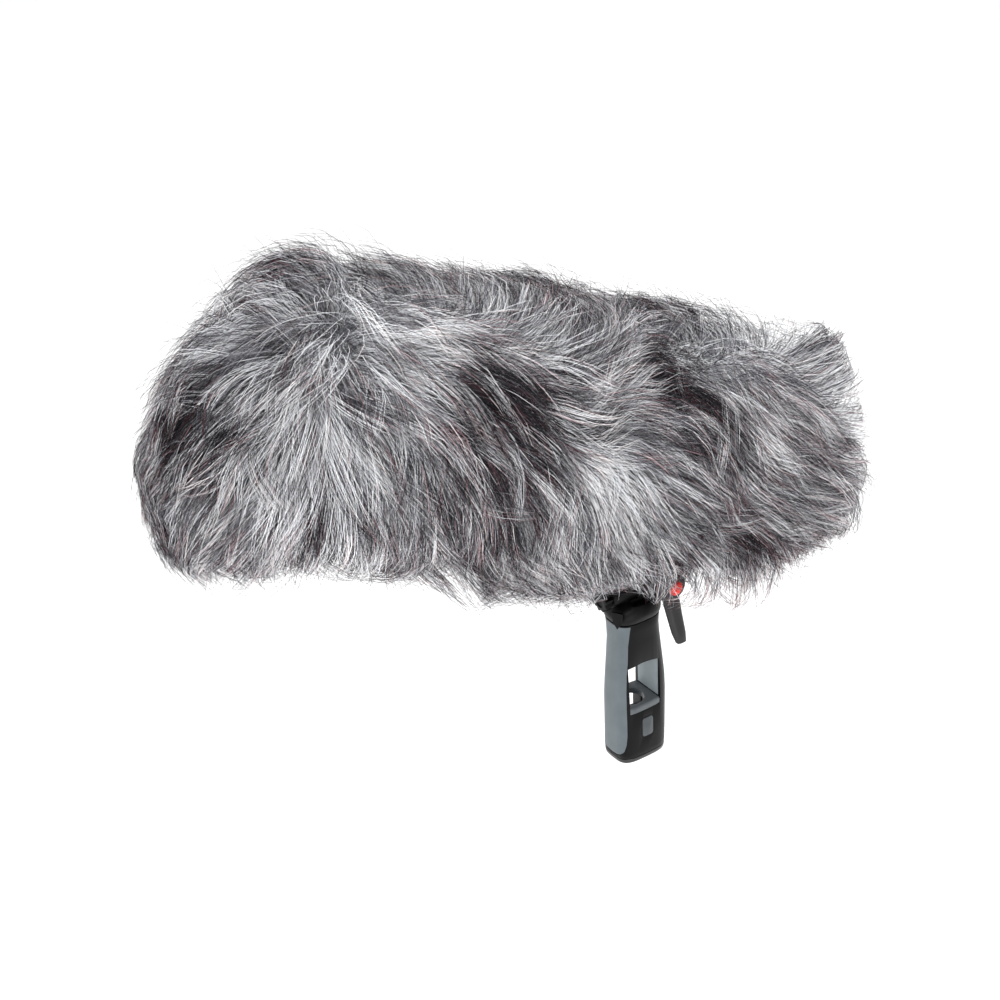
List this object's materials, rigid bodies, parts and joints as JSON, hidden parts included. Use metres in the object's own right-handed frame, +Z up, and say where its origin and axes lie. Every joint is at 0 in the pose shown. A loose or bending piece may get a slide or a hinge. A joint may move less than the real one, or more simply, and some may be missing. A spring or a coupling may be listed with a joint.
{
  "type": "furry windscreen",
  "caption": "Pistol-grip blimp windshield in a long-pile fur jacket, with a tilting yoke, clamp lever, soft-grip handle and lyre microphone suspension inside.",
  "frame": {"origin": "centre of the handle's base face, on the axis of the boom thread", "axes": "+Z up the handle, -X towards the windshield's nose, +X towards its tail; the clamp lever is on the -Y side"},
  "size_m": [0.5537, 0.224, 0.501],
  "materials": {
    "satin_black": "satin",
    "soft_black": "matte",
    "grip_grey": "matte",
    "grip_dark": "matte",
    "ledge_grey": "satin",
    "badge_grey": "satin",
    "strap_black": "matte",
    "steel": "satin",
    "brass": "satin",
    "friction_pad": "matte",
    "lever_grey": "satin",
    "button_red": "satin",
    "cage_plastic": "satin",
    "net_fabric": "matte",
    "rail_aluminium": "satin",
    "lyre_plastic": "satin",
    "fur": "matte"
  },
  "bodies": {
    "handle": {"handle_frame_right": "satin_black", "handle_frame_left": "satin_black", "front_grip": "grip_grey", "rear_grip": "grip_dark", "window_liner": "grip_grey", "side_badge": "badge_grey", "handle_screw_1": "steel", "handle_screw_2": "steel", "handle_screw_3": "steel", "handle_screw_4": "steel", "window_ledge": "ledge_grey", "base_plate": "satin_black", "boom_thread_insert": "brass", "swivel_head": "soft_black", "keeper_strap": "strap_black", "pivot_bolt": "steel", "friction_disc_left": "friction_pad", "friction_disc_right": "friction_pad", "washer_left": "steel", "washer_right": "steel", "pivot_nut": "soft_black"},
    "lock_knob": {"lock_knob": "soft_black"},
    "clamp_lever": {"clamp_lever": "lever_grey", "lever_insert": "steel"},
    "lever_button": {"lever_button": "button_red", "lever_spring": "steel"},
    "windshield": {"yoke": "soft_black", "yoke_screw_front": "steel", "yoke_screw_rear": "steel", "basket_tube": "cage_plastic", "tube_net": "net_fabric", "front_tube_ring": "cage_plastic", "rear_tube_ring": "cage_plastic", "suspension_rail": "rail_aluminium", "fur_jacket_right": "fur", "fur_jacket_left": "fur", "slot_hem": "soft_black"},
    "front_cap": {"front_cap_ring": "cage_plastic", "front_cap_cage": "cage_plastic", "front_cap_net": "net_fabric"},
    "rear_cap": {"rear_cap_ring": "cage_plastic", "rear_cap_cage": "cage_plastic", "rear_cap_net": "net_fabric"},
    "front_lyre": {"front_lyre_base": "soft_black", "front_lyre": "lyre_plastic", "front_mic_clip": "lyre_plastic"},
    "rear_lyre": {"rear_lyre_base": "soft_black", "rear_lyre": "lyre_plastic", "rear_mic_clip": "lyre_plastic"},
    "front_lyre_screw": {"front_lyre_screw": "steel"},
    "rear_lyre_screw": {"rear_lyre_screw": "steel"}
  },
  "joints": [
    {"name": "tilt", "type": "hinge", "parent": "handle", "child": "windshield", "pos_m": [0.0125, 0, 0.168], "axis": [0, 1, 0], "range_deg": [-63, 18.5]},
    {"name": "lock_knob_turn", "type": "hinge", "parent": "handle", "child": "lock_knob", "pos_m": [-0.0278, 0, 0.1538], "axis": [1, 0, 0], "range_deg": [-180, 180]},
    {"name": "clamp_lever_turn", "type": "hinge", "parent": "handle", "child": "clamp_lever", "pos_m": [0.0125, 0, 0.168], "axis": [0, 1, 0], "range_deg": [-25, 25]},
    {"name": "lever_button_press", "type": "slide", "parent": "clamp_lever", "child": "lever_button", "axis": [0, 1, 0], "range_m": [0, 0.002], "stiffness_N_per_m": 800, "springref_m": -0.001},
    {"name": "front_cap_twist", "type": "hinge", "parent": "windshield", "child": "front_cap", "pos_m": [-0.2804, 0, 0.40222], "axis": [0.9171, 0, -0.3987], "range_deg": [0, 20]},
    {"name": "rear_cap_twist", "type": "hinge", "parent": "windshield", "child": "rear_cap", "pos_m": [0.09376, 0, 0.23953], "axis": [0.9171, 0, -0.3987], "range_deg": [0, 20]},
    {"name": "front_lyre_slide", "type": "slide", "parent": "windshield", "child": "front_lyre", "axis": [0.9171, 0, -0.3987], "range_m": [-0.04, 0.04]},
    {"name": "rear_lyre_slide", "type": "slide", "parent": "windshield", "child": "rear_lyre", "axis": [0.9171, 0, -0.3987], "range_m": [-0.04, 0.04]},
    {"name": "front_lyre_screw_turn", "type": "hinge", "parent": "front_lyre", "child": "front_lyre_screw", "pos_m": [-0.19184, 0.015, 0.325], "axis": [0, 1, 0], "range_deg": [0, 180]},
    {"name": "rear_lyre_screw_turn", "type": "hinge", "parent": "rear_lyre", "child": "rear_lyre_screw", "pos_m": [-0.02677, 0.015, 0.25323], "axis": [0, 1, 0], "range_deg": [0, 180]}
  ]
}
